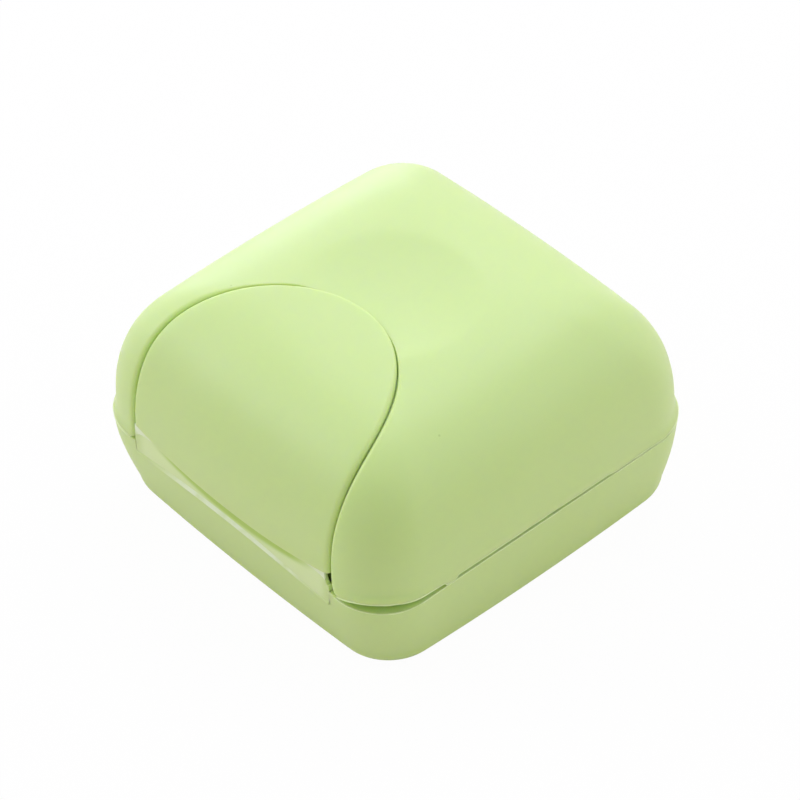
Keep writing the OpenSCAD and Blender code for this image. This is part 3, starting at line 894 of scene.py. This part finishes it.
tray_lines = [ring(tray_half - inwards, tray_corner - inwards, foot_bow) for inwards in edge_steps]
for x, y in slot_places:
    for outwards_by in edge_steps:
        turn = np.radians(np.r_[np.linspace(-90, 90, 13), np.linspace(90, 270, 13)])
        end = np.repeat((1, -1), 13) * (slot_long - slot_wide) / 2
        radius = slot_wide / 2 + outwards_by
        tray_lines.append(np.stack([x + end + radius * np.cos(turn), y + radius * np.sin(turn)], 1))
flat, net_faces = chart_net(tray_lines, [True] * len(tray_lines), 3.0, 1.0, on_tray)
fall = rounded_edge(np.minimum(np.maximum(from_slot(flat), 0), np.maximum(from_tray_side(flat), 0)), tray_edge)
tray = shell_object("drain_plate", np.column_stack([flat, tray_high - fall]),
                    np.column_stack([flat, tray_low + fall]), net_faces, sharp=50)
tray_plastic = moulded("tray_plastic", srgb(204, 227, 156), srgb(199, 223, 148), srgb(184, 208, 138))
tray.data.materials.append(tray_plastic)
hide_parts("drain_tray")
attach(tray, "base")

# Ribs and feet of the tray: seven low ribs that the soap lies on, and four stubs that the tray stands on.
# They are one moulding with the plate, and geometry nodes set each out in even rows.
rib_reach, rib_top, rib_wide, rib_soft, foot_at, foot_r = 23.3, 8.5, 1.4, 0.45, 21.0, 2.5
rib_fall, rib_fall_long = 1.5, 1.2


def rib_section(x):
    """The rib's outline, with a rounded top that falls away at both ends."""
    past_end = min(max(abs(x) - rib_reach + rib_fall_long, 0) / rib_fall_long, 1)
    top = rib_top - rib_fall * (1 - math.sqrt(1 - 0.98 * past_end ** 2))
    right = [(rib_wide / 2 - rib_soft * (1 - math.cos(a)), top - rib_soft * (1 - math.sin(a)))
             for a in np.radians(np.linspace(0, 90, 5))]
    root = [(y, tray_high - 0.3) for y in (-rib_wide / 2 - 0.1, rib_wide / 2 + 0.1)]
    return root + right + [(-y, z) for y, z in right[::-1]]


half_rib = np.array((22.1, 22.7, 23.0, 23.2, rib_reach))
rib = bar("one_rib", np.r_[-half_rib[::-1], 0, half_rib], rib_section)
round_turn = np.linspace(0, 2 * np.pi, 33)[:-1]
stub_rows = [np.stack([r * np.cos(round_turn), r * np.sin(round_turn), np.full(32, z)], 1)
             for r, z in ((1.9, 1.93), (2.2, 2.0), (2.35, 2.2), (foot_r - 0.1, 3.5), (foot_r, tray_low + 0.3))]
stub = plain_object("one_foot", *lathe(stub_rows, True))
rows_of, given = new_group("even_rows", "GeometryNodeTree", {
    "Geometry": ("Geometry", None), "Piece": ("Object", None), "Across": ("Int", None), "Along": ("Int", None),
    "Step across": ("Float", None), "Step along": ("Float", None), "Material": ("Material", None)},
    {"Geometry": "Geometry"})


def point_row(count, step, axis):
    """A row of points along one axis, with its middle at the origin."""
    half_way = math_on(rows_of, "MULTIPLY_ADD", given[count], -0.5, 0.5)
    first = math_on(rows_of, "MULTIPLY", half_way, given[step])
    start, offset = (add_node(rows_of, "ShaderNodeCombineXYZ", {axis: length}).outputs["Vector"]
                     for length in (first, given[step]))
    return add_node(rows_of, "GeometryNodeMeshLine", {
        "Count": given[count], "Start Location": start, "Offset": offset}).outputs["Mesh"]


spread = add_node(rows_of, "GeometryNodeInstanceOnPoints", {
    "Points": point_row("Across", "Step across", "X"), "Instance": point_row("Along", "Step along", "Y")})
net_points = add_node(rows_of, "GeometryNodeRealizeInstances", {"Geometry": spread.outputs["Instances"]})
pattern = add_node(rows_of, "GeometryNodeObjectInfo", {"Object": given["Piece"]})
place_all = add_node(rows_of, "GeometryNodeInstanceOnPoints", {
    "Points": net_points.outputs["Geometry"], "Instance": pattern.outputs["Geometry"]})
solid = add_node(rows_of, "GeometryNodeRealizeInstances", {"Geometry": place_all.outputs["Instances"]})
paint = add_node(rows_of, "GeometryNodeSetMaterial", {
    "Geometry": solid.outputs["Geometry"], "Material": given["Material"]})
add_node(rows_of, "NodeGroupOutput", {"Geometry": paint.outputs["Geometry"]})


def set_out(name, pattern, **values):
    """A new object with copies of one shape in even rows, as a plain mesh."""
    piece = bpy.data.objects.new(name, bpy.data.meshes.new(name))
    bpy.context.scene.collection.objects.link(piece)
    rows = piece.modifiers.new("rows", "NODES")
    rows.node_group = rows_of
    identifier = {i.name: i.identifier for i in rows_of.interface.items_tree if i.in_out == "INPUT"}
    rows[identifier["Piece"]] = pattern
    for socket, value in values.items():
        rows[identifier[socket.replace("_", " ")]] = value
    view = bpy.context.evaluated_depsgraph_get()
    view.update()
    mesh = bpy.data.meshes.new_from_object(piece.evaluated_get(view), preserve_all_data_layers=True,
                                           depsgraph=view)
    piece.modifiers.clear()
    piece.data = mesh
    bpy.data.objects.remove(pattern)
    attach(piece, "base")
    return piece


set_out("tray_ribs", rib, Across=1, Along=rib_count, Step_across=0.0, Step_along=rib_pitch * MM,
        Material=tray_plastic)
set_out("tray_feet", stub, Across=2, Along=2, Step_across=2 * foot_at * MM, Step_along=2 * foot_at * MM,
        Material=tray_plastic)

# Floor and light: a plain white table under four broad soft lights, in a white room that fills the shadows.
# The floor lies a hair below the foot, so that the two faces don't share one plane.
floor_mesh = bpy.data.meshes.new("floor")
floor_reach, floor_h = 3.0, -0.05 * MM
corners = [(x * floor_reach, y * floor_reach, floor_h) for x, y in ((-1, -1), (1, -1), (1, 1), (-1, 1))]
floor_mesh.from_pydata(corners, [], [(0, 1, 2, 3)])
floor = bpy.data.objects.new("floor", floor_mesh)
bpy.context.scene.collection.objects.link(floor)
floor_material = bpy.data.materials.new("white_table")
floor_material.use_nodes = True
tree = floor_material.node_tree
shader = feed(tree, tree.nodes["Principled BSDF"], {"Base Color": (0.87, 0.81, 0.82, 1), "Roughness": 0.8})
seen = add_node(tree, "ShaderNodeLightPath").outputs
white = add_node(tree, "ShaderNodeEmission", {"Color": (1, 1, 1, 1)})
whiteness = 0.97
blend_in = add_node(tree, "ShaderNodeMixShader", {
    "Fac": math_on(tree, "MULTIPLY", seen["Is Camera Ray"], whiteness), 1: shader.outputs["BSDF"],
    2: white.outputs["Emission"]})
feed(tree, tree.nodes["Material Output"], {"Surface": blend_in.outputs["Shader"]})
floor_mesh.materials.append(floor_material)

world = bpy.data.worlds.new("white_room")
bpy.context.scene.world = world
world.use_nodes = True
tree = world.node_tree
room = feed(tree, tree.nodes["Background"], {"Color": (1, 1, 0.89, 1), "Strength": 0.55})
backdrop = add_node(tree, "ShaderNodeBackground", {"Color": (1, 1, 1, 1), "Strength": 1})
seen = add_node(tree, "ShaderNodeLightPath").outputs
straight = math_on(tree, "MAXIMUM", seen["Is Camera Ray"], seen["Is Transmission Ray"])
seen_white = math_on(tree, "MAXIMUM", straight, seen["Is Glossy Ray"])
choose = add_node(tree, "ShaderNodeMixShader", {
    "Fac": seen_white, 1: room.outputs["Background"], 2: backdrop.outputs["Background"]})
feed(tree, tree.nodes["World Output"], {"Surface": choose.outputs["Shader"]})


def soft_light(name, place, size, power):
    """A square soft light that faces the box."""
    data = bpy.data.lights.new(name, "AREA")
    data.shape = "SQUARE"
    data.size = size
    data.energy = power
    data.color = (0.95, 0.96, 1.2)
    light = bpy.data.objects.new(name, data)
    light.location = place
    light.rotation_euler = (Vector((0, 0, 0.02)) - Vector(place)).to_track_quat("-Z", "Y").to_euler()
    bpy.context.scene.collection.objects.link(light)


soft_light("back_light", (-0.22, 0.36, 0.66), 0.5, 1.9)
soft_light("left_light", (-0.57, -0.33, 0.46), 0.5, 1.9)
soft_light("right_light", (0.45, 0.5, 0.45), 0.5, 1.1)
soft_light("rim_light", (-0.85, 0.55, 0.16), 0.45, 2.1)

bpy.context.scene.view_settings.view_transform = "Standard"
